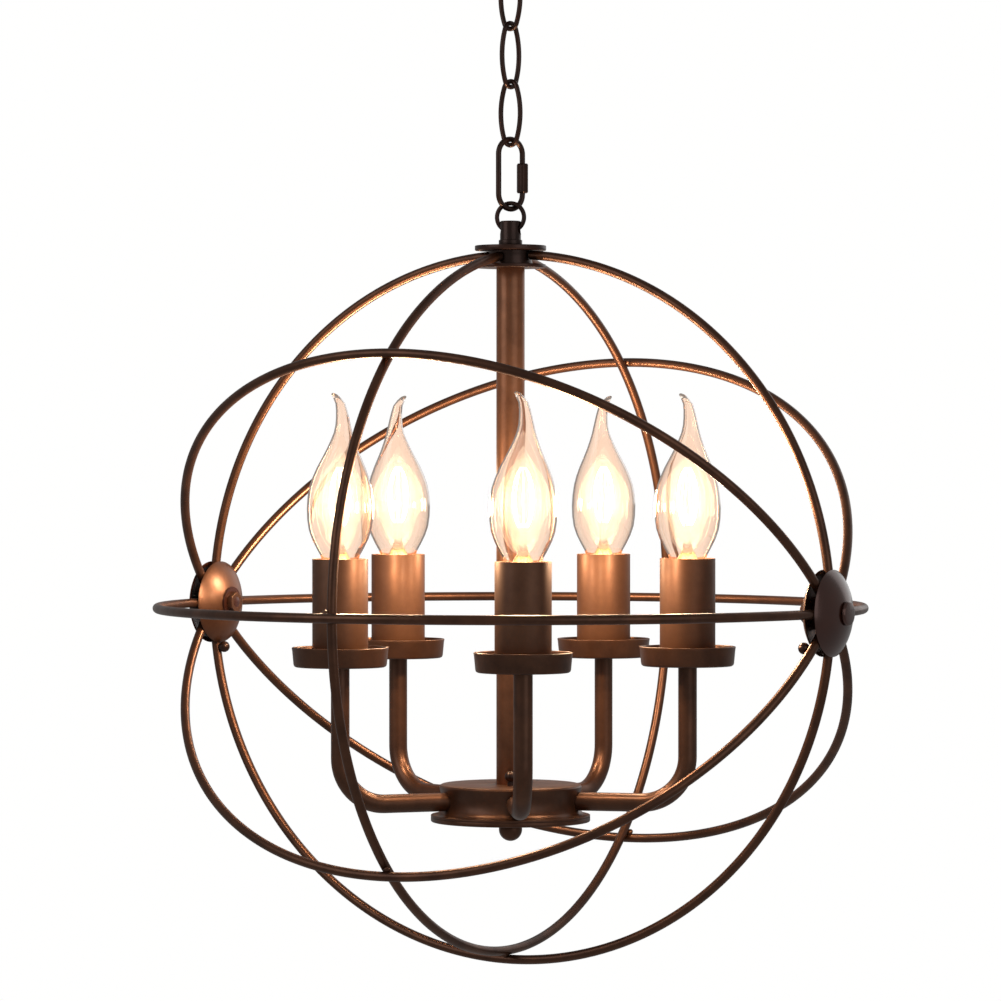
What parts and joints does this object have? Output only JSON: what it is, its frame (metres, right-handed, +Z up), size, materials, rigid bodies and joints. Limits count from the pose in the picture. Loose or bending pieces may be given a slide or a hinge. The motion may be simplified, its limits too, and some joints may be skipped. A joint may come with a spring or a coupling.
{
  "type": "orb chandelier",
  "caption": "Round cage of bent rods around upright candle lamps on a centre tube, hung from a short chain and a ceiling canopy.",
  "frame": {"origin": "on the ceiling plane, where the hanging stem's axis meets it", "axes": "+Z up to the ceiling, +X along the axis of the cage's two side hubs, -Y to the front"},
  "size_m": [0.403, 0.385, 0.589],
  "materials": {
    "bronze": "satin oil-rubbed bronze",
    "sleeve_bronze": "satin brown bronze",
    "zinc": "zinc plate",
    "bulb_glass": "clear, faintly amber",
    "bulb_cap": "satin",
    "holder": "matte phenolic"
  },
  "bodies": {
    "ceiling_end": {"canopy": "bronze", "crossbar": "zinc", "screw_collar": "bronze", "hanger_loop": "bronze"},
    "link_one": {"chain_link_1": "bronze"},
    "link_two": {"chain_link_2": "bronze"},
    "link_three": {"chain_link_3": "bronze"},
    "quick_link_body": {"quick_link": "bronze"},
    "nut_body": {"quick_link_nut": "bronze"},
    "ring_body": {"hanging_ring": "bronze"},
    "lamp": {"loop_stem": "bronze", "upper_disc": "bronze", "top_core": "bronze", "lower_disc": "bronze", "centre_tube": "bronze", "rib_top_left": "bronze", "rib_top_right": "bronze", "rib_upper_front": "bronze", "rib_front": "bronze", "rib_lower_front": "bronze", "rib_bottom": "bronze", "rib_lower_back": "bronze", "rib_back": "bronze", "rib_upper_back": "bronze", "inner_ring": "bronze", "right_outer_dome": "bronze", "right_inner_dome": "bronze", "left_outer_dome": "bronze", "left_inner_dome": "bronze", "dome_bolts": "bronze", "ball_screws": "bronze", "drum": "bronze", "base_plate": "bronze", "finial": "bronze", "arm_front": "bronze", "pan_front": "bronze", "sleeve_front": "sleeve_bronze", "arm_right_front": "bronze", "pan_right_front": "bronze", "sleeve_right_front": "sleeve_bronze", "arm_right_back": "bronze", "pan_right_back": "bronze", "sleeve_right_back": "sleeve_bronze", "arm_left_back": "bronze", "pan_left_back": "bronze", "sleeve_left_back": "sleeve_bronze", "arm_left_front": "bronze", "pan_left_front": "bronze", "sleeve_left_front": "sleeve_bronze", "lamp_holders": "holder"},
    "bulb_front": {"glass_front": "bulb_glass", "cap_front": "bulb_cap"},
    "bulb_right_front": {"glass_right_front": "bulb_glass", "cap_right_front": "bulb_cap"},
    "bulb_right_back": {"glass_right_back": "bulb_glass", "cap_right_back": "bulb_cap"},
    "bulb_left_back": {"glass_left_back": "bulb_glass", "cap_left_back": "bulb_cap"},
    "bulb_left_front": {"glass_left_front": "bulb_glass", "cap_left_front": "bulb_cap"}
  },
  "joints": [
    {"name": "link_one_swing", "type": "hinge", "parent": "ceiling_end", "child": "link_one", "pos_m": [0, 0, -0.0545], "axis": [0.2079, 0.9781, 0], "range_deg": [-20, 20]},
    {"name": "link_two_swing", "type": "hinge", "parent": "link_one", "child": "link_two", "pos_m": [0, 0, -0.0849], "axis": [0.9781, -0.2079, 0], "range_deg": [-20, 20]},
    {"name": "link_three_swing", "type": "hinge", "parent": "link_two", "child": "link_three", "pos_m": [0, 0, -0.1162], "axis": [0.2079, 0.9781, 0], "range_deg": [-20, 20]},
    {"name": "quick_link_swing", "type": "hinge", "parent": "link_three", "child": "quick_link_body", "pos_m": [0, 0, -0.1475], "axis": [0.9781, -0.2079, 0], "range_deg": [-20, 20]},
    {"name": "quick_link_nut_travel", "type": "slide", "parent": "quick_link_body", "child": "nut_body", "axis": [0, 0, 1], "range_m": [0, 0.005]},
    {"name": "ring_swing", "type": "hinge", "parent": "quick_link_body", "child": "ring_body", "pos_m": [0, 0, -0.18185], "axis": [0.4067, 0.9135, 0], "range_deg": [-20, 20]},
    {"name": "lamp_swing", "type": "hinge", "parent": "ring_body", "child": "lamp", "pos_m": [0, 0, -0.19262], "axis": [0.9659, 0.2588, 0], "range_deg": [-20, 20]},
    {"name": "bulb_front_lift", "type": "slide", "parent": "lamp", "child": "bulb_front", "axis": [0, 0, 1], "range_m": [0, 0.03]},
    {"name": "bulb_right_front_lift", "type": "slide", "parent": "lamp", "child": "bulb_right_front", "axis": [0, 0, 1], "range_m": [0, 0.03]},
    {"name": "bulb_right_back_lift", "type": "slide", "parent": "lamp", "child": "bulb_right_back", "axis": [0, 0, 1], "range_m": [0, 0.03]},
    {"name": "bulb_left_back_lift", "type": "slide", "parent": "lamp", "child": "bulb_left_back", "axis": [0, 0, 1], "range_m": [0, 0.03]},
    {"name": "bulb_left_front_lift", "type": "slide", "parent": "lamp", "child": "bulb_left_front", "axis": [0, 0, 1], "range_m": [0, 0.03]}
  ]
}
